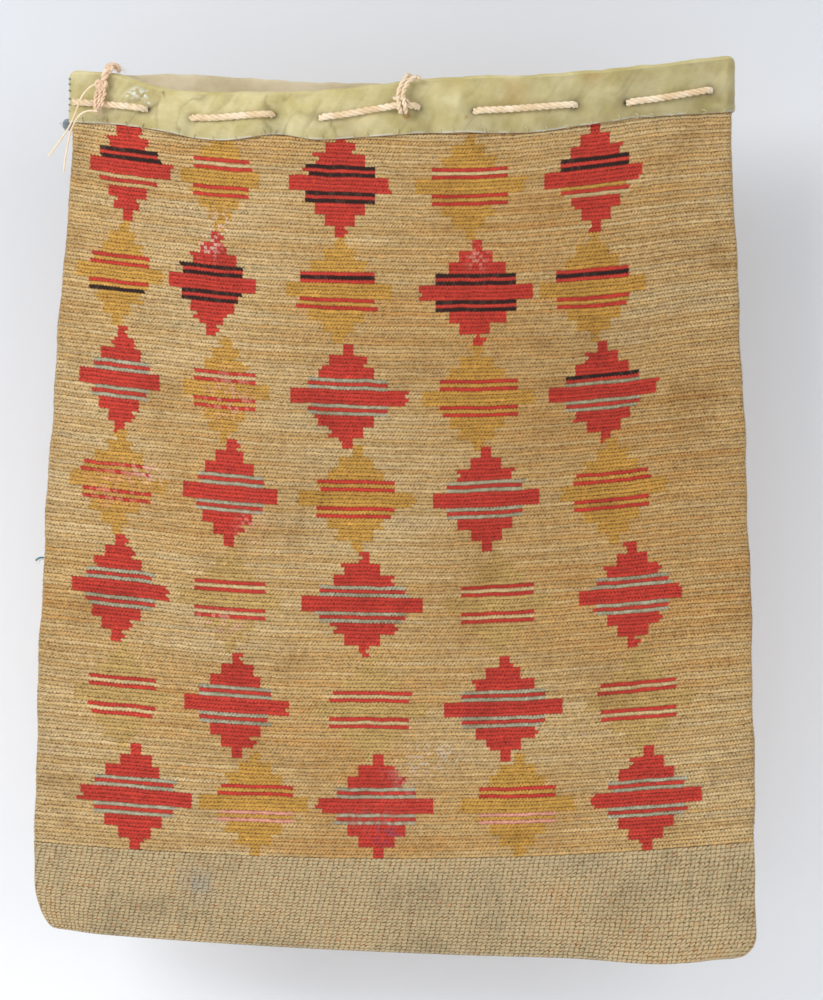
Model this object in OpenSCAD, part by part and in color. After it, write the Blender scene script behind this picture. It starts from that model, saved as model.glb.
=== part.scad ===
// A flat, hand-twined storage bag with a folded hide rim, a laced drawstring and two ties.
// The origin is the middle of the back rim, where the bag is hung up. +Z is up and -Y is the front.

/* [Woven bag] */
// Width of the bag at its mouth
mouth_w = 418; // [380:1:440]
// How far the left edge spreads from the mouth to the foot
left_spread = 24; // [0:1:30]
// How far the right edge spreads from the mouth to the foot
right_spread = 15; // [0:1:30]
// Height from the hanging point to the foot, at the middle
bag_h = 551; // [520:1:580]
// Depth of the room inside, at the middle of the mouth
room_d = 22; // [20:0.5:26]
// Thickness of the woven wall
wall_t = 2.6; // [2:0.1:3]
// Height of the plain band at the foot, at the middle
foot_h = 61; // [50:1:80]
// Radius of the lower corners
corner_r = 14; // [8:1:20]

/* [Hide rim] */
// Thickness of the hide
hide_t = 1.4; // [1:0.1:1.6]
// How far the hide reaches down inside the mouth
inner_flap_h = 22; // [16:1:26]

/* [Cords] */
// Diameter of the drawstring
string_d = 4.8; // [4:0.1:5]
// Diameter of one strand of the middle tie
tie_d = 3; // [2.4:0.1:3.2]
// Diameter of the thick tie at the left
left_tie_d = 5; // [4:0.1:5.4]
// Diameter of the two thin tails
tail_d = 1.2; // [1:0.1:1.6]
// Diameter of the sewing thread
thread_d = 1; // [0.8:0.1:1.2]

/* [Hidden] */

BACK = 0;
FRONT = 1;
half_w = mouth_w / 2;

// Heights along the mouth: distance from the middle as a share of the half width, then height in mm.
front_rim_line = [
    [-1, 6], [-0.86, 3], [-0.72, -5], [-0.45, -8], [-0.2, -7], [0.1, -1], [0.43, 2], [0.7, 7], [1, 15]
];
back_rim_line = [
    [-1, 6], [-0.86, 4], [-0.55, 3], [-0.25, 0], [0.1, 0], [0.43, 1], [0.7, 6], [1, 14]
];
hem_line = [
    [-1, -25], [-0.86, -27], [-0.68, -35], [-0.43, -38], [-0.1, -37], [0.4, -34], [0.67, -25], [1, -18]
];

// The holes that the drawstring is laced through, as distances from the middle.
front_holes = [-160, -132, -80, -51, 13, 45, 110, 140, 196];
back_holes = [-125, -95, -30, 5, 90, 122, 196];
// Half the distance in which the drawstring passes through the rim at a hole
lace_reach = 4;

// Clearance between the hide and the woven wall, and between the two halves where they are folded.
hide_gap = 0.2;
fold_gap = 0.4;
wall_out = wall_t;
hide_in = wall_t + hide_gap;
hide_out = hide_in + hide_t;
flap_out = -hide_gap;
flap_in = -hide_gap - hide_t;
// The hide's two inner flaps need room where the mouth is folded at its ends.
mouth_gap = fold_gap - 2 * flap_in;
mouth_gap_end = 70;
// The wall ends this far under the top of the rim, and is pressed thinner under the hide.
wall_under_rim = 4;
pressed_wall_t = wall_t - 0.2;
pressed_to = 0.5;
// The folds start to spread below this depth.
spread_from = 42;
// The foot fold's half thickness, and the front wall's clearance over it
fold_r = (2 * wall_t + fold_gap) / 2;
foot_clear = 1;

// Tie and hitch
string_r = string_d / 2;
hitch_x = 0;
hitch_clear = 0.5;
// The drawstring stands off the rim over this far on each side of the hitch, and lies on it again past the second.
hitch_flat = 4;
hitch_slope = 12;
hitch_stand_off = tie_d + 2 * hitch_clear;
hitch_y = -(mouth_gap + room_d + hide_out + hitch_stand_off + string_r);
hitch_z = (lookup(0, front_rim_line) + lookup(0, hem_line)) / 2;

hide_colour = "#cdc593";
ground_colour = "#cfae74";
foot_colour = "#b5a67e";
cord_colour = "#e6d3b0";

// ---- The bag's surfaces. u runs from -1 at the left fold to 1 at the right fold. ----
function clamp01(t) = min(1, max(0, t));
function below_band(z) = clamp01((-z - spread_from) / (bag_h - spread_from));
function edge_x(u, z) = u * (half_w + (u < 0 ? left_spread : right_spread) * sin(100 * below_band(z)));
function fold_room(z) = fold_gap + (mouth_gap - fold_gap) * clamp01((mouth_gap_end + z) / 30);
function puff(u, z) = room_d * (1 - u * u) * (1 - pow(clamp01(-z / bag_h), 3));
function layer_y(side, u, z, out) = side == BACK ? out : -(fold_room(z) + puff(u, z) + out);
function rim_z(side, u) = lookup(u, side == BACK ? back_rim_line : front_rim_line);
function hem_z(u) = lookup(u, hem_line);
function wall_top_z(side, u) = rim_z(side, u) - wall_under_rim;
function foot_band_z(u) = -bag_h + foot_h + 10 * u * u;
// The foot's line slopes down to the right and turns up in a quarter round at each corner.
function corner_rise(u) =
    let (run = max(0, half_w * (abs(u) - 1) + corner_r) / corner_r)
    corner_r * (1 - sqrt(max(0, 1 - run * run)));
function foot_z(u) = -bag_h - 9.5 * u + 6 * u * u + corner_rise(u);

// Columns are closer together near the folds, where the outline turns.
columns = 28;
function column_u(i) = sin(90 * (2 * i / columns - 1));
us = [for (i = [0:columns]) column_u(i)];

function point_at(side, u, z, out) = [edge_x(u, z), layer_y(side, u, z, out), z];

// ---- Solids worked out from points ----
// A ring of points per step, joined to the next ring, with a flat cap at each end.
module loft(rings) {
    sides = len(rings[0]);
    last = len(rings) - 1;
    polyhedron(
        points = [for (ring = rings) each ring],
        faces = [
            [for (k = [0:sides - 1]) k],
            for (i = [0:last - 1], k = [0:sides - 1])
                let (a = i * sides + k, b = i * sides + (k + 1) % sides)
                each [[a, a + sides, b], [b, a + sides, b + sides]],
            [for (k = [sides - 1:-1:0]) last * sides + k]
        ]
    );
}

// A curved sheet on the front of the bag, between two height lines and two layers of thickness.
module curved_sheet(inner, outer, rows, top_line, low_line) {
    function z_at(u, j) = let (t = j / rows) (1 - t) * top_line(u) + t * low_line(u);
    function at(k, j, i) = (k * (rows + 1) + j) * (columns + 1) + i;
    function quad(a, b, c, d) = [[a, b, c], [a, c, d]];
    polyhedron(
        points = [
            for (out = [outer, inner], j = [0:rows], u = us) point_at(FRONT, u, z_at(u, j), out)
        ],
        faces = [
            for (j = [0:rows - 1], i = [0:columns - 1])
                each quad(at(0, j, i), at(0, j, i + 1), at(0, j + 1, i + 1), at(0, j + 1, i)),
            for (j = [0:rows - 1], i = [0:columns - 1])
                each quad(at(1, j, i), at(1, j + 1, i), at(1, j + 1, i + 1), at(1, j, i + 1)),
            for (i = [0:columns - 1])
                each quad(at(0, 0, i), at(1, 0, i), at(1, 0, i + 1), at(0, 0, i + 1)),
            for (i = [0:columns - 1])
                each quad(at(0, rows, i), at(0, rows, i + 1), at(1, rows, i + 1), at(1, rows, i)),
            for (j = [0:rows - 1])
                each quad(at(0, j, 0), at(0, j + 1, 0), at(1, j + 1, 0), at(1, j, 0)),
            for (j = [0:rows - 1])
                each quad(at(0, j, columns), at(1, j, columns), at(1, j + 1, columns), at(0, j + 1, columns))
        ]
    );
}

// The same sheet on the back, where it hangs flat: an outline between two height lines, from one layer to another.
module flat_sheet(inner, outer, steps, top_line, low_line) {
    function z_at(u, j) = let (t = j / steps) (1 - t) * top_line(u) + t * low_line(u);
    function side_points(u, js) = [for (j = js) let (z = z_at(u, j)) [edge_x(u, z), z]];
    inner_us = [for (i = [1:columns - 1]) us[i]];
    translate([0, outer, 0])
        rotate([90, 0, 0])
            linear_extrude(outer - inner)
                polygon([
                    each side_points(-1, [0:steps]),
                    for (u = inner_us) let (z = low_line(u)) [edge_x(u, z), z],
                    each side_points(1, [steps:-1:0]),
                    for (i = [len(inner_us) - 1:-1:0])
                        let (u = inner_us[i], z = top_line(u)) [edge_x(u, z), z]
                ]);
}

// A round cord along a route. "across" is a direction that the route never runs along.
module cord(route, r, across, sides = 8) {
    last = len(route) - 1;
    function heading(i) = let (d = route[min(i + 1, last)] - route[max(i - 1, 0)]) d / norm(d);
    loft([
        for (i = [0:last])
            let (
                h = heading(i),
                side_raw = cross(across, h),
                side_way = side_raw / norm(side_raw),
                up_way = cross(h, side_way)
            )
            [for (k = [0:sides - 1])
                let (a = 360 * k / sides) route[i] + r * (cos(a) * side_way + sin(a) * up_way)]
    ]);
}

// ---- Woven parts ----
module back_wall() {
    hide_end = function(u) hem_z(u) - pressed_to;
    color(ground_colour) {
        flat_sheet(0, pressed_wall_t, 2, function(u) wall_top_z(BACK, u), hide_end);
        flat_sheet(0, wall_t, 12, hide_end, function(u) foot_band_z(u));
    }
}

module front_wall() {
    color(ground_colour)
        curved_sheet(0, wall_out, 20,
            function(u) wall_top_z(FRONT, u), function(u) foot_band_z(u) + foot_clear / 2);
}

module back_foot_band() {
    color(foot_colour)
        flat_sheet(0, wall_t, 4, function(u) foot_band_z(u), function(u) foot_z(u) + fold_r);
}

module front_foot_band() {
    color(foot_colour)
        curved_sheet(0, wall_out, 5,
            function(u) foot_band_z(u) + foot_clear / 2, function(u) foot_z(u) + fold_r + foot_clear);
}

// The closed foot: a half-round strip under both walls.
module foot_fold() {
    middle_y = wall_t - fold_r;
    arc_steps = 6;
    color(foot_colour)
        loft([
            for (i = [1:columns - 1])
                let (u = us[i], z = foot_z(u) + fold_r, x = edge_x(u, z))
                [for (k = [0:arc_steps])
                    let (a = 180 * k / arc_steps)
                    [x, middle_y - fold_r * cos(a), z - fold_r * sin(a)]]
        ]);
}

// ---- Hide rim: a strip folded over the edge of the mouth ----
// The fold's height, and how far its rounded top stands in from each face
fold_h = 2.5;
fold_round = 0.8;

module front_hide_rim() {
    mid = (hide_out + flap_in) / 2;
    // The strip's section, as the layer it lies in and the height of each corner.
    function section(u) =
        let (rim = rim_z(FRONT, u), flap = rim - inner_flap_h, hem = hem_z(u))
        [
            [hide_out, hem], [hide_in, hem], [hide_in, rim - 3], [mid, rim - 2], [flap_out, rim - 3],
            [flap_out, flap], [flap_in, flap], [flap_in, rim - fold_h], [flap_in + fold_round, rim - fold_round],
            [mid, rim], [hide_out - fold_round, rim - fold_round], [hide_out, rim - fold_h]
        ];
    color(hide_colour)
        loft([for (u = us) [for (p = section(u)) [u * half_w, layer_y(FRONT, u, p[1], p[0]), p[1]]]]);
}

module back_hide_rim() {
    top = function(u) rim_z(BACK, u);
    shoulder = function(u) rim_z(BACK, u) - fold_round;
    fold_end = function(u) rim_z(BACK, u) - fold_h;
    color(hide_colour) {
        flat_sheet(flap_in + fold_round, hide_out - fold_round, 1, top, shoulder);
        flat_sheet(flap_in, hide_out, 1, shoulder, fold_end);
        flat_sheet(hide_in, hide_out, 1, fold_end, function(u) hem_z(u));
        flat_sheet(flap_in, flap_out, 1, fold_end, function(u) rim_z(BACK, u) - inner_flap_h);
    }
}

// Short stitches along the hem of the hide, on its outer face.
module hem_stitches(side, count) {
    stitch_l = 5;
    above_hem = 4;
    stand_off = hide_out + thread_d / 2 + 0.15;
    function end_at(x) =
        let (u = x / half_w, z = hem_z(u) + above_hem)
        [x, layer_y(side, u, z, stand_off), z];
    color(cord_colour)
        for (k = [0:count - 1])
            let (x = mouth_w * ((k + 1) / (count + 1) - 0.5))
                cord([end_at(x - stitch_l / 2), end_at(x), end_at(x + stitch_l / 2)], thread_d / 2, [0, 0, 1], 6);
}

// Whip stitches over the end of the rim, just outside the left fold.
module rim_end_stitches() {
    stitch_x = -half_w - thread_d / 2 - 0.3;
    color("#8f9a80")
        for (k = [0:4])
            translate([stitch_x, hide_out, 2 - 5 * k])
                rotate([90, 0, 0])
                    cylinder(h = hide_out - layer_y(FRONT, -1, 0, hide_out), d = thread_d, $fn = 16);
}

// ---- Drawstring ----
// Outside the rim before the first hole, then inside and outside by turns.
function laced(side, x, inside) =
    let (
        u = x / half_w,
        z = (rim_z(side, u) + hem_z(u)) / 2,
        out = inside ? flap_in - string_r - 0.1 : hide_out + string_r + 0.1,
        lift = side == FRONT && !inside
            ? hitch_stand_off * clamp01((hitch_slope - abs(x - hitch_x)) / (hitch_slope - hitch_flat))
            : 0
    )
    [x, layer_y(side, u, z, out + lift), z];

function even_xs(from_x, to_x) =
    let (steps = max(2, round((to_x - from_x) / 12)))
    [for (j = [1:steps]) from_x + (to_x - from_x) * j / steps];

// Along the run that carries the hitch, the steps follow the stand-off.
function run_xs(from_x, to_x, hitched) =
    hitched
        ? [each even_xs(from_x, hitch_x - hitch_slope), hitch_x - hitch_flat, hitch_x + hitch_flat, to_x]
        : even_xs(from_x, to_x);

function laced_route(side, holes) = [
    laced(side, 2 - half_w, false),
    for (k = [0:len(holes) - 1])
        let (
            inside = k % 2 == 1,
            from_x = k == 0 ? 2 - half_w : holes[k - 1] + lace_reach,
            to_x = holes[k] - lace_reach,
            hitched = side == FRONT && from_x < hitch_x - hitch_slope && hitch_x + hitch_flat < to_x
        )
        each [
            for (x = run_xs(from_x, to_x, hitched)) laced(side, x, inside),
            if (k < len(holes) - 1) laced(side, holes[k] + lace_reach, !inside)
        ],
    // The last end goes into its hole.
    let (x = holes[len(holes) - 1], u = x / half_w, z = (rim_z(side, u) + hem_z(u)) / 2)
        [x, layer_y(side, u, z, wall_t / 2), z]
];

module drawstring(side, holes) {
    color(cord_colour) cord(laced_route(side, holes), string_r, [0, 0, 1]);
}

// ---- Ties and loose ends ----
// Two strands side by side, from the hitch round the drawstring up and over the rim.
module middle_tie() {
    ring_r = string_r + hitch_clear + tie_d / 2;
    strand_gap = 0.45 * tie_d;
    strand = [
        [0, 0.5, ring_r], [0, 0.8, 9], [0, 1.6, 14], [0, 3.8, 17.8], [0, 7.5, 19.2], [0, 11, 18.4]
    ];
    color(cord_colour)
        translate([hitch_x, hitch_y, hitch_z]) {
            rotate([0, 90, 0])
                for (x = [-strand_gap, strand_gap])
                    translate([0, 0, x])
                        rotate_extrude($fn = 32)
                            translate([ring_r, 0]) circle(d = tie_d, $fn = 16);
            for (x = [-strand_gap, strand_gap])
                translate([x, 0, 0]) cord(strand, tie_d / 2, [1, 0, 0]);
        }
}

// The thick twisted tie: a knot on the drawstring, and a strand over the rim.
left_tie_x = -190;
function before_rim(x, z, off) = [x, layer_y(FRONT, x / half_w, z, hide_out + off), z];
module left_tie() {
    knot_r = 5.4;
    route = [
        before_rim(-191, -14, 4), before_rim(-190, -9, 3.2), before_rim(-188, -3, 2.9),
        before_rim(-186, 3, 2.6), before_rim(-184, 7.6, 0), before_rim(-180, 7.6, -3)
    ];
    color("#d9bf98") {
        translate(before_rim(left_tie_x, -15, knot_r + 0.3)) sphere(r = knot_r, $fn = 32);
        cord(route, left_tie_d / 2, [1, 0.3, 0]);
    }
}

// The two thin tails hang from the knot, past the left fold.
long_tail_route = [
    [-191, -22, -4], [-194, -22, -5.5], [-197, -21.5, -8], [-199.5, -21, -11], [-201.5, -20.5, -14.5],
    [-203, -20, -18.5], [-204.5, -19, -22.5], [-206.5, -18, -26.5], [-208.5, -17, -30], [-211, -16, -33.5],
    [-213.5, -15, -37], [-216, -14, -40], [-218.5, -13, -43], [-220.5, -12, -45.5], [-222.5, -11, -47.5]
];
short_tail_route = [
    [-190, -23, -21.5], [-194, -23, -21], [-198, -22, -21.5], [-201.5, -21, -23.5], [-204, -20, -26.5],
    [-206, -19, -30], [-207.5, -18, -33.5], [-208.5, -17, -37], [-209.5, -16, -40.5], [-210.3, -15, -44],
    [-211, -14, -47], [-211.6, -13.5, -50], [-212, -13, -52.5], [-212.3, -12.5, -55], [-212.5, -12, -57.5]
];
module left_tail(route) {
    color(cord_colour) cord(route, tail_d / 2, [0, 1, 0]);
}

// A scrap of grey cloth that sticks out at the left end of the rim.
module cloth_scrap() {
    color("#8e9699")
        translate([-half_w - 3, wall_t, -26])
            rotate([90, 0, 0])
                linear_extrude(wall_t - 0.4)
                    offset(r = 1, $fn = 24) square([3.4, 5], center = true);
}

// A thread end that stands out of the left fold.
module thread_end() {
    thread_z = -301;
    thread_l = 5;
    fold_x = edge_x(-1, thread_z);
    color("#3f7f86")
        translate([fold_x - thread_l, wall_t / 2, thread_z])
            rotate([0, 90, 0]) cylinder(h = thread_l, d = 0.8, $fn = 16);
}

back_wall();
back_foot_band();
foot_fold();
back_hide_rim();
drawstring(BACK, back_holes);  // back_drawstring
hem_stitches(BACK, 12);  // back_hem_stitches
rim_end_stitches();
cloth_scrap();
thread_end();
front_wall();
front_foot_band();
front_hide_rim();
drawstring(FRONT, front_holes);  // front_drawstring
hem_stitches(FRONT, 14);  // front_hem_stitches
left_tie();
left_tail(long_tail_route);  // left_tail_long
left_tail(short_tail_route);  // left_tail_short
middle_tie();
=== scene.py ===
import math

import bpy
import numpy as np
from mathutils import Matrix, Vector


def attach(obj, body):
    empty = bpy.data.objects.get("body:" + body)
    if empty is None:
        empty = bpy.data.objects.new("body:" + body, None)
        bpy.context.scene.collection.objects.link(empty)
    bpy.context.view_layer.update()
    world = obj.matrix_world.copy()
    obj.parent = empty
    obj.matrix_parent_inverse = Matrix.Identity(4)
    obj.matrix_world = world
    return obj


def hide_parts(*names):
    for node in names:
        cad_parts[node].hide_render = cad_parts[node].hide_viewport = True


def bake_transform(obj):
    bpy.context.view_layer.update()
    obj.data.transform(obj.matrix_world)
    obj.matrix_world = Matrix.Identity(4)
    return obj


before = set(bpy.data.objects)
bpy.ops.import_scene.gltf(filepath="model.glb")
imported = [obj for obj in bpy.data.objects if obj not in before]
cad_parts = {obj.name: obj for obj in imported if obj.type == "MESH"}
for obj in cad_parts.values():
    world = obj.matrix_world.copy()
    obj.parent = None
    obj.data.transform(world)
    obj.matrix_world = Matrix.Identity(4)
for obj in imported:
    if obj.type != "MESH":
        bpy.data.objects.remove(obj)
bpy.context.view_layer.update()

# A flat, hand-twined storage bag that hangs by its rim. Lengths below are in millimetres, as in its CAD
# source, and every mesh turns them into metres. u runs across a face, -1 at the left fold and 1 at the right.
MM = 0.001
HALF_W = 209
LEFT_SPREAD = 24
RIGHT_SPREAD = 15
BAG_H = 551
SPREAD_FROM = 42
ROOM_D = 22
WALL_T = 2.6
FOOT_H = 61
CORNER_R = 14
FOLD_GAP = 0.4
HIDE_T = 1.4
HIDE_GAP = 0.2
FLAP_H = 22
STRING_D = 4.8
TIE_D = 3
LEFT_TIE_D = 5
TAIL_D = 1.2

HIDE_IN = WALL_T + HIDE_GAP
HIDE_OUT = HIDE_IN + HIDE_T
FLAP_OUT = -HIDE_GAP
FLAP_IN = -HIDE_GAP - HIDE_T
MOUTH_GAP = FOLD_GAP - 2 * FLAP_IN
MOUTH_GAP_END = 70

# The weave: stitches and rows of one face of the body, and of the plain band at the foot.
STITCHES = 204
ROWS = 190
ROWS_UNDER_HIDE = 8
FOOT_STITCHES = 144
FOOT_ROWS = 28


# ---- Curves and noise ----
def cubic_through(at, values, wanted):
    """Values between known ones: each stretch is a cubic whose end slopes are the neighbouring chords'."""
    slopes = np.gradient(values, at, axis=0)
    k = np.clip(np.searchsorted(at, wanted) - 1, 0, len(at) - 2)
    wide = at[k + 1] - at[k]
    t = np.clip((wanted - at[k]) / wide, 0, 1)
    if values.ndim > 1:
        wide, t = wide[:, None], t[:, None]
    start = values[k] * (1 + 2 * t) * (1 - t) ** 2 + slopes[k] * wide * t * (1 - t) ** 2
    return start + values[k + 1] * t * t * (3 - 2 * t) - slopes[k + 1] * wide * t * t * (1 - t)


def smooth_line(*points):
    """A height line through (u, height) points."""
    us, heights = np.array(points, float).T
    return lambda u: cubic_through(us, heights, u)


front_rim = smooth_line(
    (-1, 7.5), (-0.86, 4.5), (-0.72, -5), (-0.45, -9), (-0.2, -8), (0.1, -1), (0.43, 2), (0.7, 8.2), (1, 17.5)
)
back_rim = smooth_line(
    (-1, 7.5), (-0.86, 5.5), (-0.7, 6), (-0.5, 4), (-0.25, 1), (0.1, 0), (0.43, 1), (0.7, 7.2), (1, 16.5)
)
hem = smooth_line(
    (-1, -25), (-0.86, -27), (-0.7, -33), (-0.54, -39), (-0.36, -36), (-0.26, -39), (-0.14, -38.5), (0, -36),
    (0.4, -34), (0.67, -25), (1, -18)
)
front_lacing = smooth_line(
    (-1, -13), (-0.77, -19), (-0.63, -25), (-0.38, -24), (-0.25, -26), (0, -19.7), (0.2, -22), (0.52, -17.5),
    (0.67, -15.5), (0.93, -6), (1, -3)
)
first_row = smooth_line(
    (-1, -22), (-0.83, -28.5), (-0.53, -36.5), (-0.17, -41.5), (0.2, -42.5), (0.56, -34.5), (0.8, -27.5),
    (1, -24)
)


def back_lacing(u):
    """Height of the drawstring along the back: half way between rim and hem."""
    return (back_rim(u) + hem(u)) / 2


def bell(*offsets):
    """A bell curve, exp(-(offsets squared)): 1 in the middle, where every offset is 0."""
    return np.exp(-sum(offset**2 for offset in offsets))


def foot_band_top(u):
    """Height of the line where the patterned body meets the plain foot band: a shallow bowl."""
    return -BAG_H + FOOT_H + 10 * u * u


def foot_line(u):
    """Height of the foot: it falls to the right, curves up at both ends, and sags right of the middle."""
    return -BAG_H - 9.5 * u + 6 * u * u - 3.5 * bell((u - 0.72) / 0.17)


def eased(t):
    """A smooth step from 0 to 1 as t goes from 0 to 1."""
    t = np.clip(t, 0, 1)
    return t * t * (3 - 2 * t)


def patches(seed, x, y):
    """Soft random patches from 0 to 1: random values on a unit lattice, eased between the four nearest."""
    lattice = np.random.default_rng(seed).random((64, 64))
    i, j = np.floor(x).astype(int), np.floor(y).astype(int)
    tx, ty = eased(x - i), eased(y - j)
    low = lattice[i % 64, j % 64] * (1 - tx) + lattice[(i + 1) % 64, j % 64] * tx
    high = lattice[i % 64, (j + 1) % 64] * (1 - tx) + lattice[(i + 1) % 64, (j + 1) % 64] * tx
    return low * (1 - ty) + high * ty


def unit(vectors):
    return vectors / np.linalg.norm(vectors, axis=-1, keepdims=True)


def display(red, green, blue):
    """The linear colour of display values from 0 to 255."""
    c = np.array([red, green, blue]) / 255
    return np.where(c <= 0.04045, c / 12.92, ((c + 0.055) / 1.055) ** 2.4)


# ---- The bag's layers ----
def half_width(u, z):
    """Half the bag's width on that side: the folds spread below the hide along a sine, and waver a little."""
    down = np.clip((-z - SPREAD_FROM) / (BAG_H - SPREAD_FROM), 0, 1)
    spread = np.where(u < 0, LEFT_SPREAD, RIGHT_SPREAD) * np.sin(np.radians(100 * down))
    waver = eased(down * 6) * (0.5 * np.sin(z / 17 + 2 * u) + 0.3 * np.sin(z / 6.3 - u))
    return HALF_W + spread + waver


def fold_room(z):
    """Clear distance between the two walls at the folds, wider at the mouth for the hide's inner flaps."""
    return FOLD_GAP + (MOUTH_GAP - FOLD_GAP) * np.clip((MOUTH_GAP_END + z) / 30, 0, 1)


def bulge(u, x, z):
    """How far the front stands off: a crown that dies away to the foot, with slow waves lower down."""
    share = (1 - (x / half_width(u, z)) ** 2) * (1 - np.clip(-z / BAG_H, 0, 1) ** 3)
    waves = 1.5 * np.sin(x / 47 + z / 90) + 1.1 * np.sin(x / 23 - z / 61 + 2) + 0.8 * np.sin(z / 33 + x / 120)
    return np.clip(share, 0, 1) * (ROOM_D + waves * eased(-z / 140))


def layer(front, u, z, out, foot_turn=1.0, corner_cut=0.0):
    """Points of the layer that lies `out` from the wall's inner face.

    Near a fold the layer turns a quarter of a circle round the middle of the fold:
    x = edge - r (1 - cos turn), y = r sin turn. Past that it runs straight to the middle of the face.
    The front adds its bulge. foot_turn flattens it to nothing at the foot, and corner_cut draws the fold in
    at a rounded corner.
    """
    edge = half_width(u, z) + out - WALL_T
    depth = fold_room(z) / 2 + out
    r = np.maximum(depth, 0.2)
    run = (1 - np.abs(u)) * (edge + r * (math.pi / 2 - 1))
    turn = np.minimum(run / r, math.pi / 2)
    reach = edge - r * (1 - np.cos(turn)) - np.maximum(run - r * math.pi / 2, 0)
    x = np.sign(u) * (reach - corner_cut * (1 - eased(run / 45)))
    depth = depth * np.sin(turn) * foot_turn
    middle = -fold_room(z) / 2
    y = middle - depth - bulge(u, x, z) if front else middle + depth
    return np.stack(np.broadcast_arrays(x, y, z), axis=-1)


def stand_at(front, x, z, out):
    """The point of the layer `out` from the wall that stands at x, on the flat part of a face."""
    side = np.sign(x)
    r = np.maximum(fold_room(z) / 2 + out, 0.2)
    u = x / (half_width(side, z) + out - WALL_T + r * (math.pi / 2 - 1))
    return layer(front, u, z, out)


# ---- Meshes ----
def grid_faces(rows, columns, closed=False):
    """Corner numbers of a grid's quads, row by row; a closed grid's last column joins its first."""
    i, j = np.meshgrid(np.arange(rows - 1), np.arange(columns if closed else columns - 1), indexing="ij")
    k = (j + 1) % columns
    return np.stack([i * columns + j, (i + 1) * columns + j, (i + 1) * columns + k, i * columns + k], axis=-1)


def patch(points, pattern, flip=False, closed=False, slot=0, dye=None):
    """A grid of points as one patch of a mesh. pattern holds (u, v) per point, a column more if closed."""
    rows, columns = points.shape[:2]
    faces = grid_faces(rows, columns, closed)
    wide = pattern.shape[1]
    corners = grid_faces(rows, wide)
    uv = pattern.reshape(-1, 2)[corners.reshape(-1, 4)]
    faces = faces.reshape(-1, 4)
    if flip:
        faces, uv = faces[:, ::-1], uv[:, ::-1]
    slots = np.broadcast_to(slot, (rows - 1, wide - 1)).reshape(-1)
    return {"points": points.reshape(-1, 3), "faces": faces, "back": 0, "uv": uv, "slots": slots, "dye": dye}


def ends(points, flip=False, slot=0):
    """Two flat caps for a closed tube whose rings are the rows of points, listed just before them."""
    rows, sides = points.shape[:2]
    ring = np.arange(sides)
    faces = np.stack([ring, ring[::-1] + (rows - 1) * sides])
    return {"points": np.zeros((0, 3)), "faces": faces[:, ::-1] if flip else faces, "back": rows * sides,
            "uv": np.zeros((2 * sides, 2)), "slots": np.full(2, slot), "dye": None}


def add_mesh(name, patches_of_mesh, materials, normals=None):
    """Joins patches into one object at the origin, in metres, with its UV map and each face's dye."""
    starts = np.cumsum([0] + [len(p["points"]) for p in patches_of_mesh])
    points = np.concatenate([p["points"] for p in patches_of_mesh]) * MM
    loops = np.concatenate([(p["faces"] + s - p["back"]).ravel() for p, s in zip(patches_of_mesh, starts)])
    sizes = np.concatenate([np.full(len(p["faces"]), p["faces"].shape[1]) for p in patches_of_mesh])
    mesh = bpy.data.meshes.new(name)
    mesh.vertices.add(len(points))
    mesh.vertices.foreach_set("co", points.astype(np.float32).ravel())
    mesh.loops.add(len(loops))
    mesh.loops.foreach_set("vertex_index", loops.astype(np.int32))
    mesh.polygons.add(len(sizes))
    mesh.polygons.foreach_set("loop_start", (np.cumsum(sizes) - sizes).astype(np.int32))
    slots = np.concatenate([p["slots"] for p in patches_of_mesh])
    mesh.polygons.foreach_set("material_index", slots.astype(np.int32))
    mesh.polygons.foreach_set("use_smooth", np.ones(len(sizes), bool))
    uv = np.concatenate([p["uv"].reshape(-1, 2) for p in patches_of_mesh])
    mesh.uv_layers.new(name="pattern").data.foreach_set("uv", uv.astype(np.float32).ravel())
    if patches_of_mesh[0]["dye"] is not None:
        dye = np.concatenate([p["dye"] for p in patches_of_mesh])
        colours = np.concatenate([dye, np.ones((len(dye), 1))], axis=1)
        attribute = mesh.attributes.new("dye", "FLOAT_COLOR", "CORNER")
        attribute.data.foreach_set("color", np.repeat(colours, sizes, axis=0).astype(np.float32).ravel())
    for material in materials:
        mesh.materials.append(material)
    mesh.update(calc_edges=True)
    mesh.validate()
    if normals is not None:
        mesh.normals_split_custom_set_from_vertices(normals.reshape(-1, 3))
    piece = bpy.data.objects.new(name, mesh)
    bpy.context.scene.collection.objects.link(piece)
    return piece


def mark_points(piece, marks):
    """Stores a mask of three values per point, for the material to read."""
    attribute = piece.data.attributes.new("marks", "FLOAT_COLOR", "POINT")
    values = np.concatenate([marks.reshape(-1, 3), np.ones((marks.size // 3, 1))], axis=1)
    attribute.data.foreach_set("color", values.astype(np.float32).ravel())


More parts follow.
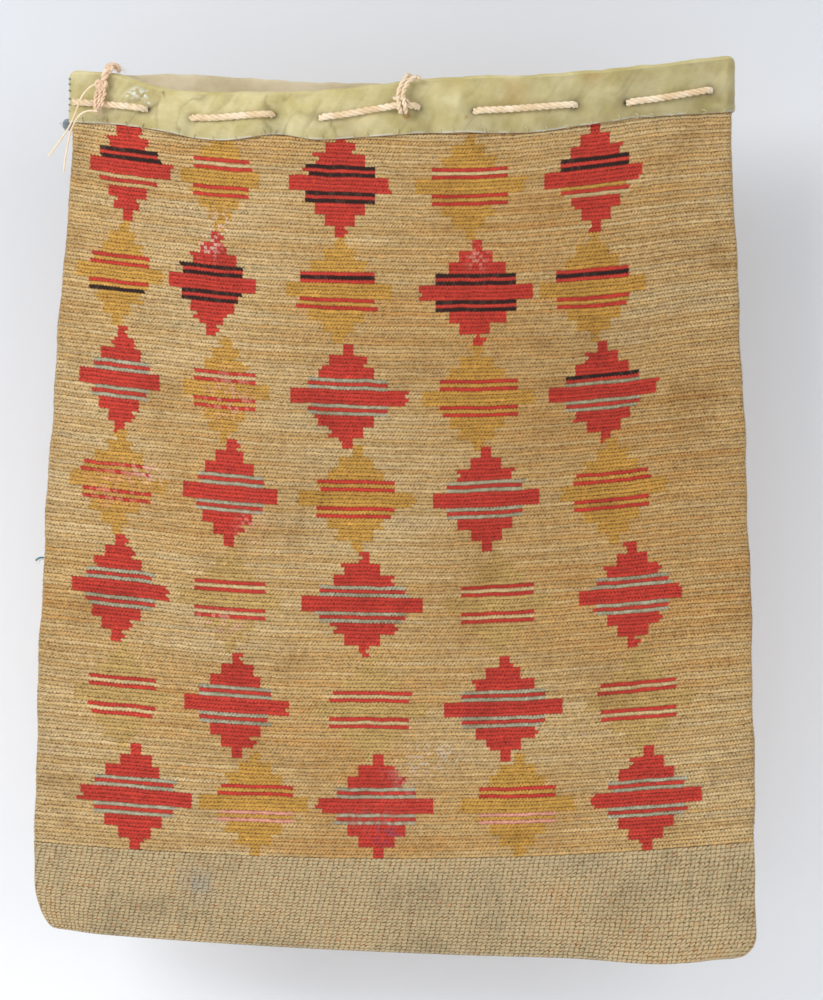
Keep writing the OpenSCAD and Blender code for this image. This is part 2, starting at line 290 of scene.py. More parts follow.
# ---- Materials ----
class Net:
    """The nodes of one material or group, with short ways to add and join them."""

    def __init__(self, tree):
        self.tree = tree

    def add(self, kind, feeds=(), **settings):
        """Adds a node, sets its properties, and fills inputs, by name or number, with values or sockets."""
        node = self.tree.nodes.new(kind)
        for key, value in settings.items():
            setattr(node, key, value)
        for key, value in dict(feeds).items():
            self.feed(node.inputs[key], value)
        return node

    def feed(self, socket, value):
        if isinstance(value, bpy.types.NodeSocket):
            self.tree.links.new(value, socket)
        else:
            socket.default_value = value

    def math(self, operation, *values):
        return self.add("ShaderNodeMath", enumerate(values), operation=operation).outputs[0]

    def blend(self, share, first, second, how="MIX"):
        """A colour between first and second."""
        feeds = {0: share, 6: first, 7: second}
        return self.add("ShaderNodeMix", feeds, data_type="RGBA", blend_type=how).outputs[2]

    def between(self, value, low, high, to_low=0.0, to_high=1.0):
        """value eased from [low, high] to [to_low, to_high]."""
        feeds = {0: value, 1: low, 2: high, 3: to_low, 4: to_high}
        return self.add("ShaderNodeMapRange", feeds, interpolation_type="SMOOTHSTEP").outputs[0]

    def stretched(self, vector, scale):
        return self.add("ShaderNodeMapping", {0: vector, 3: scale}).outputs[0]

    def noise(self, vector, scale, detail=2.0, roughness=0.5):
        feeds = {"Vector": vector, "Scale": scale, "Detail": detail, "Roughness": roughness}
        return self.add("ShaderNodeTexNoise", feeds).outputs[0]

    def pattern(self):
        return self.add("ShaderNodeUVMap", uv_map="pattern").outputs[0]

    def stored(self, name):
        return self.add("ShaderNodeAttribute", attribute_name=name).outputs[0]


def rgba(*display_values):
    return (*display(*display_values), 1.0)


def group_with(name, sockets_in, sockets_out):
    """A new node group with the named input and output sockets, and its input and output nodes."""
    tree = bpy.data.node_groups.new(name, "ShaderNodeTree")
    for socket, kind in sockets_in.items():
        tree.interface.new_socket(socket, in_out="INPUT", socket_type=kind)
    for socket, kind in sockets_out.items():
        tree.interface.new_socket(socket, in_out="OUTPUT", socket_type=kind)
    net = Net(tree)
    return tree, net, net.add("NodeGroupInput"), net.add("NodeGroupOutput")


def twined_relief():
    """Rows of slanted stitches from a pattern in stitches and rows: a crest per stitch, and the gaps between.

    Each row starts `Slant` of a stitch further along than the one above, and its edges follow its stitches.
    Its gap output is a mask for painted shade in the gaps, broken into dashes.
    """
    numbers = ("Slant", "Stitch Depth", "Row Depth")
    tree, net, given, result = group_with(
        "twined relief",
        {"Pattern": "NodeSocketVector", **{name: "NodeSocketFloat" for name in numbers}},
        {name: "NodeSocketFloat" for name in ("Height", "Gap Shade", "Fibre", "Fleck")},
    )
    pattern = given.outputs["Pattern"]
    slant, stitch_depth, row_depth = (given.outputs[name] for name in numbers)
    parts = net.add("ShaderNodeSeparateXYZ", {0: pattern}).outputs
    uneven = net.math("SUBTRACT", net.noise(net.stretched(pattern, (0.45, 1.3, 1)), 1.0, 2.0), 0.5)
    jostled = net.math("MULTIPLY_ADD", uneven, 0.9, parts[0])
    stitch = net.math("FRACT", net.math("MULTIPLY_ADD", parts[1], slant, jostled))
    across = net.math("ABSOLUTE", net.math("MULTIPLY_ADD", stitch, 2.0, -1.0))
    scallop = net.math("MULTIPLY", net.math("SUBTRACT", stitch, 0.5), 0.4)
    waver = net.math("MULTIPLY_ADD", uneven, 0.5, scallop)
    row = net.math("FRACT", net.math("ADD", parts[1], waver))
    along = net.math("ABSOLUTE", net.math("MULTIPLY_ADD", row, 2.0, -1.0))
    stitch_drop = net.math("MULTIPLY", net.math("POWER", across, 3.0), stitch_depth)
    row_drop = net.math("MULTIPLY", net.math("POWER", along, 2.4), row_depth)
    crest = net.math("MULTIPLY", net.math("SUBTRACT", 1.0, stitch_drop), net.math("SUBTRACT", 1.0, row_drop))
    fibre = net.noise(net.stretched(pattern, (2.0, 9.0, 1)), 1.0, 3.0, 0.6)
    net.feed(result.inputs["Height"], net.math("MULTIPLY_ADD", fibre, 0.3, crest))
    # Painted shade in the gaps: the lower the crest, the darker; worn is only a noise that breaks this shade
    # into dashes.
    depth = net.between(crest, 0.12, 0.85, 1.0, 0.0)
    worn = net.noise(net.stretched(pattern, (0.75, 1.0, 1)), 1.0, 2.0, 0.7)
    broken = net.between(worn, 0.36, 0.6, 0.42, 1.0)
    net.feed(result.inputs["Gap Shade"], net.math("MULTIPLY", depth, broken))
    net.feed(result.inputs["Fibre"], fibre)
    flecks = net.noise(net.stretched(pattern, (0.6, 0.8, 1)), 1.7, 1.0)
    net.feed(result.inputs["Fleck"], net.between(flecks, 0.56, 0.64))
    return tree


def place_group(net, tree, feeds):
    node = net.add("ShaderNodeGroup", node_tree=tree)
    for key, value in feeds.items():
        net.feed(node.inputs[key], value)
    return node.outputs


def new_material(name):
    material = bpy.data.materials.new(name)
    material.use_nodes = True
    material.node_tree.nodes.clear()
    return material, Net(material.node_tree)


def finish_surface(net, colour, roughness, height, bump, distance, **constants):
    """A Principled surface with a bump; constants such as sheen are set on its own sockets."""
    normal = net.add("ShaderNodeBump", {"Height": height, "Strength": bump, "Distance": distance}).outputs[0]
    feeds = {"Base Color": colour, "Roughness": roughness, "Normal": normal}
    shader = net.add("ShaderNodeBsdfPrincipled", feeds)
    for key, value in constants.items():
        shader.inputs[key.replace("_", " ")].default_value = value
    net.add("ShaderNodeOutputMaterial", {0: shader.outputs[0]})


def weave_material(name, relief, shape, gap_shade_colour, fleck_colour, soil_colour, soil):
    """Dyed twined fibre: each stitch's dye, streaked along the fibre, darkened in the gaps by painted shade
    (orange-brown where flecks show) and soiled in patches.

    shape holds the slant of the stitches and how deep the gaps between stitches and between rows are.
    """
    material, net = new_material(name)
    pattern = net.pattern()
    slant, stitch_depth, row_depth = shape
    feeds = {"Pattern": pattern, "Slant": slant, "Stitch Depth": stitch_depth, "Row Depth": row_depth}
    twine = place_group(net, relief, feeds)
    streak = net.between(twine["Fibre"], 0.25, 0.75, 0.84, 1.14)
    dyed = net.blend(1.0, net.stored("dye"), streak, "MULTIPLY")
    grime = net.between(net.noise(pattern, 0.045, 4.0, 0.6), 0.5, 0.76, 0.0, soil)
    worn = net.blend(grime, dyed, soil_colour, "MULTIPLY")
    # Painted shade in the gaps: the colour there is multiplied by the gap colour, or by fleck_colour where
    # the orange-brown flecks show.
    gap_shade = net.blend(twine["Fleck"], gap_shade_colour, fleck_colour)
    colour = net.blend(twine["Gap Shade"], worn, gap_shade, "MULTIPLY")
    roughness = net.between(twine["Fibre"], 0.2, 0.8, 0.72, 0.9)
    finish_surface(net, colour, roughness, twine["Height"], 0.85, 0.0006,
                   Sheen_Weight=0.1, Sheen_Roughness=0.5, Specular_IOR_Level=0.3)
    return material


def hide_material(name, light, deep, grain_scale, grain, roughness):
    """Tanned hide: mottled, with pores and fine creases, and stored masks for painted shade, scuffs and
    stains.
    """
    material, net = new_material(name)
    pattern = net.pattern()
    marks = net.add("ShaderNodeSeparateColor", {0: net.stored("marks")}).outputs
    mottle = net.between(net.noise(pattern, 0.035, 4.0, 0.6), 0.3, 0.7)
    tanned = net.blend(mottle, deep, light)
    creases = net.noise(net.stretched(pattern, (0.16, 0.5, 1)), 1.0, 4.0, 0.65)
    cells = net.add("ShaderNodeTexVoronoi", {"Vector": pattern, "Scale": grain_scale}).outputs["Distance"]
    fine = net.noise(pattern, grain_scale * 1.7, 3.0, 0.6)
    shaded = net.blend(net.between(fine, 0.3, 0.7, 0.25, 0.0), tanned, rgba(150, 130, 80), "MULTIPLY")
    stained = net.blend(marks[2], shaded, rgba(176, 128, 62))
    scuffed = net.blend(marks[1], stained, rgba(238, 240, 236))
    # Painted shade: the first stored mask darkens the hide towards this brown.
    colour = net.blend(marks[0], scuffed, rgba(62, 46, 26), "MULTIPLY")
    height = net.math("MULTIPLY_ADD", cells, 0.35 * grain, net.math("MULTIPLY_ADD", fine, grain, creases))
    finish_surface(net, colour, net.between(mottle, 0, 1, roughness, roughness - 0.12), height, 0.55, 0.0006,
                   Sheen_Weight=0.08, Specular_IOR_Level=0.35)
    return material


def strand_material(name, light, deep, fibre_scale=1.0, sheen=0.2):
    """Spun fibre: fine streaks that run along the strand, with paler and darker lengths."""
    material, net = new_material(name)
    pattern = net.pattern()
    streak = net.noise(net.stretched(pattern, (0.5 * fibre_scale, 9.0, 1)), 1.0, 3.0, 0.6)
    length = net.noise(net.stretched(pattern, (0.09, 1.0, 1)), 1.0, 2.0)
    colour = net.blend(net.between(length, 0.35, 0.65, 0.1, 0.9), deep, light)
    streaked = net.blend(net.between(streak, 0.35, 0.65, 0.35, 0.0), colour, deep, "MULTIPLY")
    finish_surface(net, streaked, net.between(streak, 0.3, 0.7, 0.75, 0.9), streak, 0.6, 0.0003,
                   Sheen_Weight=sheen, Sheen_Roughness=0.4, Specular_IOR_Level=0.3)
    return material


relief = twined_relief()
body_weave = weave_material(
    "dyed twining", relief, shape=(0.55, 0.55, 1.0), gap_shade_colour=rgba(106, 78, 44),
    fleck_colour=rgba(150, 104, 52), soil_colour=rgba(205, 190, 165), soil=0.6,
)
foot_weave = weave_material(
    "plain foot twining", relief, shape=(0.16, 0.75, 0.9), gap_shade_colour=rgba(126, 98, 58),
    fleck_colour=rgba(190, 106, 42), soil_colour=rgba(195, 190, 180), soil=0.6,
)
inner_weave = weave_material(
    "inside of the twining", relief, shape=(-0.5, 0.5, 1.0), gap_shade_colour=rgba(110, 78, 40),
    fleck_colour=rgba(140, 96, 50), soil_colour=rgba(190, 170, 140), soil=0.7,
)
hide_face = hide_material(
    "smooth hide", rgba(219, 208, 159), rgba(192, 178, 115), grain_scale=1.3, grain=0.5, roughness=0.62
)
hide_suede = hide_material(
    "suede side of the hide", rgba(226, 212, 181), rgba(202, 186, 150),
    grain_scale=2.2, grain=1.0, roughness=0.92,
)
cotton = strand_material("cream cotton", rgba(246, 232, 208), rgba(226, 200, 160))
tan_cotton = strand_material("handled cotton", rgba(246, 224, 198), rgba(222, 188, 156))
cream_thread = strand_material("cream thread", rgba(226, 214, 176), rgba(186, 170, 124))
green_thread = strand_material("green-grey thread", rgba(150, 160, 136), rgba(96, 104, 84))
teal_thread = strand_material("teal thread", rgba(70, 140, 150), rgba(36, 88, 98))
grey_felt = strand_material("grey felt", rgba(160, 170, 174), rgba(110, 120, 126), fibre_scale=6.0, sheen=0.4)


# ---- Woven pieces ----
DYES = {
    "R": (204, 62, 46), "G": (206, 158, 72), "K": (46, 24, 17), "S": (172, 166, 138), "P": (216, 190, 138),
    "O": (226, 158, 136), "F": (202, 168, 102),
}
GROUND_TONES = [(186, 162, 120), (216, 188, 138), (208, 173, 115), (205, 159, 94), (203, 146, 81)]
FOOT_TONES = [(164, 148, 112), (186, 167, 127), (198, 176, 133), (198, 162, 112)]

# One motif per letter: red, gold or faded gold. Its middle row, middle stitch and width, and the dyes of its
# three upper and its three lower stripes; E leaves the ground showing.
MOTIF_ROWS = (11, 39, 67, 94, 122, 150, 176)
MOTIF_FILLS = ("RGRGR", "GRGRG", "RGRGR", "GRGRG", "RFRFR", "FRFRF", "RGRGR")
MOTIF_MIDDLES = (
    (19, 47, 83, 122, 160), (18, 46, 83, 124, 159), (20, 51, 86, 124, 161), (21, 53, 89, 126, 163),
    (22, 54, 91, 129, 168), (24, 56, 93, 131, 170), (28, 61, 95, 135, 172),
)
MOTIF_WIDTHS = (
    (25, 24, 30, 33, 30), (26, 26, 31, 34, 32), (24, 25, 33, 33, 32), (28, 27, 32, 31, 31),
    (27, 28, 34, 30, 30), (27, 29, 31, 34, 31), (31, 30, 32, 32, 32),
)
UPPER_STRIPES = (
    "KRK RPR KRK RPR KRK", "RGR KRK RKR KRK RKR", "SRS RPR SRS RGR KRS", "RGR SRS RGR SRS RGR",
    "SRS RPR SRS RPR SRS", "RPR SRS RPR SRS RPR", "SRS RGR SRS RGR SRS",
)
LOWER_STRIPES = (
    "ERE RGR KRK RGR GRP", "RGK KRK RGR KRK RGR", "SRS RGR SRS RGR SRS", "RGR SRS RGR SRS RGR",
    "SRS RPR SRS RPR SRS", "RPR SRS RPR SRS RPR", "SRS OGO SRS OGO SRS",
)
# Each band of a motif: how many rows, its width as a share of the whole, and whether it is plain or striped.
MOTIF_BANDS = (
    (3, 0.1, "fill"), (3, 0.3, "fill"), (3, 0.5, "fill"), (3, 0.7, "upper"), (4, 1.0, "fill"),
    (3, 0.7, "lower"), (3, 0.5, "fill"), (3, 0.3, "fill"), (3, 0.1, "fill"),
)


def runs_along_rows(rng, rows, columns, length):
    """Per row, random values `length` stitches apart, eased from one to the next, from a random start."""
    knots = rng.random((rows, columns // length + 3))
    along = np.arange(columns)[None, :] / length + rng.random((rows, 1))
    k = along.astype(int)
    row = np.arange(rows)[:, None]
    t = eased(along - k)
    return knots[row, k] * (1 - t) + knots[row, k + 1] * t


def tones_between(tones, value):
    """A colour along a list of tones, value 0 for the first and 1 for the last."""
    stops = np.linspace(0, 1, len(tones))
    channels = np.array([display(*tone) for tone in tones]).T
    return np.stack([np.interp(value, stops, channel) for channel in channels], axis=-1)


# Where the front is rubbed or stained: stitch, row, reach along and down, and the colour that shows.
WORN_PLACES = (
    (30, 90, 6, 3, (232, 208, 184)), (60, 102, 4, 4, (226, 156, 138)), (97, 183, 4, 3, (142, 62, 92)),
    (109, 162, 7, 3, (222, 208, 192)), (107, 166, 6, 5, (218, 204, 188)), (114, 161, 5, 2, (222, 208, 192)),
    (48, 22, 5, 3, (232, 200, 176)), (52, 68, 6, 6, (226, 168, 140)), (51, 128, 6, 3, (226, 176, 154)),
    (44, 28, 3, 3, (236, 214, 200)), (124, 29, 3, 3, (220, 150, 130)), (20, 95, 8, 5, (226, 160, 120)),
    (93, 179, 8, 3, (196, 92, 78)),
)
# A broad place right of the middle where the ground is darker and browner: stitch, row, reach along and
# down, and how much red, green and blue it has lost.
DARKER_PLACE = (150, 66, 62, 66)
DARKER_PLACE_LOSS = np.array([0.13, 0.17, 0.24])


def draw_motif(chart, rng, middle_row, middle, width, bands):
    """Writes one stepped motif into the chart, from its top down, now and then with a stitch too many."""
    row = middle_row + ROWS_UNDER_HIDE - sum(count for count, _, _ in MOTIF_BANDS) // 2
    for count, share, use in MOTIF_BANDS:
        wide = max(3, round(width * share))
        first = middle - wide // 2
        for k in range(count):
            dye = bands[use][k % len(bands[use])]
            early, late = rng.choice((-1, 1) + (0,) * 14, 2)
            if dye != "E" and row < len(chart):
                chart[row, first + early:first + wide + late] = dye
            row += 1


def motif_chart(rng, rows):
    """The dye of each stitch as a letter: the motifs on a ground of E."""
    chart = np.full((rows, STITCHES), "E")
    for fills, middle_row, middles, widths, upper, lower in zip(
        MOTIF_FILLS, MOTIF_ROWS, MOTIF_MIDDLES, MOTIF_WIDTHS, UPPER_STRIPES, LOWER_STRIPES
    ):
        for fill, middle, width, above, below in zip(fills, middles, widths, upper.split(), lower.split()):
            draw_motif(chart, rng, middle_row, middle, width, {"fill": fill, "upper": above, "lower": below})
    return chart


def body_dyes(seed, worn_places):
    """The colour of each stitch of one face: the ground in long runs of straw tones, and the motifs on it."""
    rng = np.random.default_rng(seed)
    rows = ROWS + ROWS_UNDER_HIDE
    stitch, row = np.meshgrid(np.arange(STITCHES), np.arange(rows))
    tone = 0.34 * runs_along_rows(rng, rows, STITCHES, 24) + 0.14 * rng.random((rows, 1))
    tone += 0.36 * patches(seed, stitch / 44, row / 27) + 0.16 * rng.random((rows, STITCHES))
    chart = motif_chart(rng, rows)
    colours = tones_between(GROUND_TONES, tone)
    for letter, dye in DYES.items():
        colours[chart == letter] = display(*dye)
    rubbed = rng.random((rows, STITCHES))
    colours[(chart != "E") & (rubbed > 0.985)] *= 1.15
    colours[(chart == "K") & (rubbed > 0.8)] = display(70, 46, 36)
    colours[(chart == "S") & (rubbed > 0.7)] = display(184, 178, 152)
    at_stitch, at_row, along, down = DARKER_PLACE
    row_of_face = row - ROWS_UNDER_HIDE
    darker_place = bell((stitch - at_stitch) / along, (row_of_face - at_row) / down)[..., None]
    colours *= 1 - darker_place * DARKER_PLACE_LOSS
    for at_stitch, at_row, along, down, dye in worn_places:
        reach = bell((stitch - at_stitch) / along, (row_of_face - at_row) / down)
        share = (np.clip(1.3 * reach, 0, 1) * (rubbed < 0.45) * np.where(chart == "E", 0.25, 0.6))[..., None]
        colours = colours * (1 - share) + display(*dye) * share
    # Each stitch's brightness: random, in runs along the rows, and darker over the last few stitches at each
    # fold.
    depth = 1 + 0.18 * (rng.random((rows, STITCHES, 1)) - 0.5)
    depth += 0.2 * (runs_along_rows(rng, rows, STITCHES, 9)[..., None] - 0.5)
    depth -= 0.14 * np.exp(-np.minimum(stitch, STITCHES - 1 - stitch) / 2.5)[..., None]
    return colours * depth


def grid_normals(points, front):
    """Normals of a grid of points: the cross product of its steps along the columns and down the rows."""
    normals = unit(np.cross(np.gradient(points, axis=0), np.gradient(points, axis=1)))
    return normals if front else -normals


def woven_halves(name, front, points, pattern, dyes, material, fine):
    """Cuts one woven face at its middle into a left and a right piece that share their edge's normals."""
    normals = grid_normals(points, front)
    fine_dyes = dyes.repeat(fine, axis=0).repeat(fine, axis=1)
    middle = points.shape[1] // 2
    cuts = {"left": (slice(0, middle + 1), slice(0, middle)), "right": (slice(middle, None),) * 2}
    halves = []
    for side, (cut, faces) in cuts.items():
        dye = fine_dyes[:, faces].reshape(-1, 3)
        grid = patch(points[:, cut], pattern[:, cut], flip=not front, dye=dye)
        halves.append(add_mesh(f"{name}_{side}", [grid], [material], normals[:, cut]))
    return halves


def body_face(name, front, seed):
    """The patterned wall: rows laid between the first row's line and the foot band's, with lumpy stitches."""
    fine = 2
    stitch = np.arange(STITCHES * fine + 1) / fine
    row = np.arange(-ROWS_UNDER_HIDE * fine, ROWS * fine + 1) / fine
    stitch, row = np.meshgrid(stitch, row)
    u = 2 * stitch / STITCHES - 1
    down = row / ROWS
    sway = 1.1 * (patches(seed + 1, stitch / 23, row / 16) - 0.5)
    sway += 0.7 * (patches(seed + 3, stitch / 4, row / 3) - 0.5)
    slack = 4.5 * bell((u - 0.62) / 0.28, (down - 0.24) / 0.14)
    lift = 2 * eased((-u - 0.3) / 0.5) * np.sin(math.pi * np.clip(down, 0, 1))
    scallops = 0.27 * np.cos(2 * math.pi * stitch) * (0.4 + 1.2 * patches(seed + 5, stitch / 2, row))
    z = (1 - down) * first_row(u) + down * foot_band_top(u) + lift - slack
    z += sway * eased((1 - down) * 12) + scallops * eased((1 - down) * ROWS / 2)
    grooves = (0.35 + 0.6 * patches(seed + 4, stitch / 1.7, row)) * np.abs(np.cos(math.pi * row))
    jitter = 0.45 * patches(seed + 2, stitch * 0.9, row * 0.9)
    points = layer(front, u, z, WALL_T - grooves - jitter)
    pattern = np.stack([stitch, row], axis=-1)
    dyes = body_dyes(seed, WORN_PLACES if front else ())
    return woven_halves(name, front, points, pattern, dyes, body_weave, fine)


def foot_dyes(seed):
    """Straw and olive columns with orange-brown flecks and a few blue-grey stains."""
    rng = np.random.default_rng(seed)
    stitch, row = np.meshgrid(np.arange(FOOT_STITCHES), np.arange(FOOT_ROWS))
    tone = 0.5 * patches(seed, stitch / 15, row / 9) + 0.25 * rng.random((1, FOOT_STITCHES))
    tone = tone + 0.25 * rng.random((FOOT_ROWS, FOOT_STITCHES))
    colours = tones_between(FOOT_TONES, tone)
    fleck = rng.random((FOOT_ROWS, FOOT_STITCHES)) > 0.97
    colours[fleck] = 0.7 * colours[fleck] + 0.3 * display(190, 126, 66)
    stain = bell((stitch - 32) / 2.5, (row - 9) / 4)[..., None]
    return colours * (1 - 0.5 * stain) + 0.5 * stain * display(146, 152, 150)


def foot_face(name, front, seed):
    """The plain band and its half of the closed foot: warps stand in columns, and the foot rolls under."""
    fine = 3
    stitch = np.arange(FOOT_STITCHES * fine + 1) / fine
    row = np.arange(FOOT_ROWS * fine + 1) / fine
    stitch, row = np.meshgrid(stitch, row)
    u = 2 * stitch / FOOT_STITCHES - 1
    down = row / FOOT_ROWS
    z = (1 - down) * foot_band_top(u) + down * foot_line(u)
    height = z - foot_line(u)
    corner_h = np.where(u < 0, 2.4 * CORNER_R, CORNER_R)
    corner_cut = CORNER_R * (1 - np.sqrt(1 - np.clip(1 - height / corner_h, 0, 1) ** 2))
    roll_r = WALL_T + FOLD_GAP / 2
    foot_turn = np.sin(np.minimum(height / roll_r, math.pi / 2))
    edge = eased(height / 4) * eased((1 - np.abs(u)) * 60)
    grooves = 0.35 * np.abs(np.cos(math.pi * stitch)) + 0.2 * np.abs(np.cos(math.pi * row))
    grooves *= 0.5 + patches(seed + 4, stitch / 1.5, row / 2)
    jitter = 0.3 * patches(seed + 2, stitch, row)
    points = layer(front, u, z, WALL_T - (grooves + jitter) * edge, foot_turn, corner_cut)
    pattern = np.stack([stitch, row], axis=-1)
    return woven_halves(name, front, points, pattern, foot_dyes(seed), foot_weave, fine)


def lining_face(name, front):
    """The wall seen from inside, from under the hide's flap down to the foot."""
    cells = 120
    u, down = np.meshgrid(np.linspace(-1, 1, cells + 1), np.linspace(0, 1, cells + 1))
    top = (front_rim(u) if front else back_rim(u)) - 6
    z = (1 - down) * top + down * (foot_line(u) + CORNER_R)
    points = layer(front, u, z, 0.0)
    pattern = np.stack([(u + 1) * STITCHES / 2, down * (ROWS + FOOT_ROWS)], axis=-1)
    rng = np.random.default_rng(7)
    dyes = tones_between(GROUND_TONES, 0.3 + 0.5 * rng.random((cells, cells)))
    return woven_halves(name, not front, points, pattern, dyes, inner_weave, 1)


# ---- Hide rim ----
FOLD_H = 2.5
RIM_CORNER_R = 6
# Lengths along the strip's section, for its pattern: the outer face, each radian of the fold, where the inner
# flap starts, the flap, and the whole way round.
OUTER_RUN = 36
FOLD_RUN = 2.7
FLAP_START = 45
FLAP_RUN = 20
SECTION_RUN = 128
# Each pucker: its place along the strip, its width, its height and how far it leans from hem to rim.
PUCKERS = (
    (-149, 5, 1.8, 5), (-139, 4, 1.6, 10), (-122, 6, 1.5, 14), (-109, 4, 1.2, 12), (-98, 6, 1.4, 10),
    (-68, 6, 1.8, -4), (-57, 4, 1.2, 5), (-20, 9, 0.9, 6), (22, 5, 1.3, -4), (33, 5, 1.5, 5),
    (76, 9, 0.8, -5), (119, 5, 1.5, 6), (131, 5, 1.3, -4), (168, 10, 0.8, -8), (203, 3, 1.4, 2),
)
# Places of the lacing holes along the front's and the back's rim, and the line that the string follows.
HOLES = {True: (-160, -132, -80, -51, 10, 45, 109, 141, 195), False: (-125, -95, -30, 5, 90, 122, 196)}
LACING = {True: front_lacing, False: back_lacing}


def hide_profile():
    """The strip's closed section: rows of (out, share of rim, share of hem, added height, length).

    It runs from the hem up the outer face, over the rounded fold, down the inner flap and back up the
    hidden side.
    """
    middle, half = (HIDE_OUT + FLAP_IN) / 2, (HIDE_OUT - FLAP_IN) / 2
    outer = [(HIDE_OUT, t, 1 - t, -FOLD_H * t, OUTER_RUN * t) for t in np.linspace(0, 1, 32)]
    fold = [(middle + half * math.cos(a), 1, 0, FOLD_H * (math.sin(a) - 1), OUTER_RUN + FOLD_RUN * a)
            for a in np.linspace(0, math.pi, 11)[1:-1]]
    flap = [(FLAP_IN, 1, 0, -FOLD_H - t * (FLAP_H - FOLD_H), FLAP_START + FLAP_RUN * t)
            for t in np.linspace(0, 1, 18)]
    turned = FLAP_START + FLAP_RUN
    hidden = [
        ((FLAP_IN + FLAP_OUT) / 2, 1, 0, -FLAP_H - 0.4, turned + 1),
        (FLAP_OUT, 1, 0, -FLAP_H, turned + 2),
        (FLAP_OUT, 1, 0, -3, turned + 21),
        (middle, 1, 0, -2, turned + 23),
        (HIDE_IN, 1, 0, -3, turned + 25),
    ]
    back = [(HIDE_IN, t, 1 - t, -3 * t, SECTION_RUN - 2 - OUTER_RUN * t) for t in np.linspace(1, 0, 9)[1:]]
    edge = [((HIDE_IN + HIDE_OUT) / 2, 0, 1, -0.5, SECTION_RUN - 1)]
    return np.array(outer + fold + flap + hidden + back + edge), len(outer), len(fold)


def spot(x, z, at, size):
    """A soft round spot, 1 at its middle."""
    return bell((x - at[0]) / size, (z - at[1]) / size)


def slackness(x):
    """How loosely the hide lies: the left half is gathered, and the right half is stretched smoother."""
    return 1 - 0.6 * eased((x + 45) / 60)


def hide_wrinkles(front, x, z):
    """Narrow wrinkles that run down and across, strongest near the lacing holes."""
    gather = 0.3 + sum(bell((x - hole) / 13) for hole in HOLES[front])
    lines = patches(45, x / 8 - z / 13 + 30, z / 20 + x / 45 + 9)
    return slackness(x) * gather * bell((lines - 0.5) / 0.05)


# Spots on the front's hide: the scuffs' place and size, and the tan spots' strength, place and size.
CHALKY_SCUFFS = (((-167, -8), 3), ((-162, -10), 2.6), ((-171, -10), 2), ((-160, -15), 1.4))
TAN_SPOTS = ((0.9, (40, -26), 1.1), (0.4, (119, 2), 7), (0.35, (70, -10), 9), (0.8, (92, -22), 0.9))


def hide_shade_and_marks(front, x, z, up, swell, outer):
    """Masks along the hide: painted shade in hollows, towards the hem and right end, along wrinkles and at
    holes; chalky scuffs and cut edge; tan stains.
    """
    seed = 51
    # Painted shade: darker in the swell's hollows, towards the hem, towards the right end, along the wrinkles
    # and at each lacing hole.
    painted_shade = 0.28 * np.clip(0.4 - swell / 2, 0, 1) + 0.16 * (1 - up) ** 2 + 0.16 * eased((x + 20) / 200)
    painted_shade += 0.12 * hide_wrinkles(front, x, z)
    for hole in HOLES[front]:
        painted_shade += 0.6 * spot(x, z, (hole, LACING[front](hole / HALF_W)), 1.9)
    chalk = 0.5 * (up < 0.02) * (patches(seed + 2, x / 9 + 40, np.zeros_like(x)) > 0.3)
    stain = 0.25 * np.clip(patches(seed, x / 30, z / 9) - 0.55, 0, 1)
    if front:
        for at, size in CHALKY_SCUFFS:
            chalk += spot(x, z, at, size) * (patches(seed + 1, x / 1.5, z / 1.5) > 0.45)
        # A short slanted dark line near the front's left end, added to the same mask.
        painted_shade += 0.7 * bell((x + 149 + 0.5 * (z + 9)) / 0.8, (z + 9) / 3)
        stain += 0.9 * bell((np.hypot(x - 3, z + 25) - 1.6) / 0.8)
        stain += sum(share * spot(x, z, at, size) for share, at, size in TAN_SPOTS)
    return np.clip(np.stack([painted_shade * outer, chalk * outer, stain * outer], axis=-1), 0, 1)


def hide_swell(front, u, x, z, up):
    """How far the hide stands off: puckers, lumps and wrinkles, held down by the lacing and at its holes."""
    swell = np.zeros_like(z)
    for at, width, height, lean in PUCKERS:
        swell += height * bell((x - at - lean * (up - 0.5)) / width)
    swell += 1.6 * (patches(41, x / 15 + 20, z / 11 + 20) - 0.45)
    swell += 0.8 * (patches(42, x / 5 + z / 7 + 30, z / 6 + 9) - 0.5)
    swell += 0.8 * (patches(44, x / 2.2 - z / 5 + 30, z / 7 + 9) - 0.5)
    swell += 2.2 * bell((x - 203) / 9, (z + 15.5) / 1.6)
    swell -= 0.9 * hide_wrinkles(front, x, z)
    swell *= 0.3 + 0.7 * slackness(x)
    swell *= 1 - 0.7 * bell((z - LACING[front](u)) / 3.5)
    for hole in HOLES[front]:
        swell -= 1.8 * spot(x, z, (hole, LACING[front](hole / HALF_W)), 4.0)
    return swell


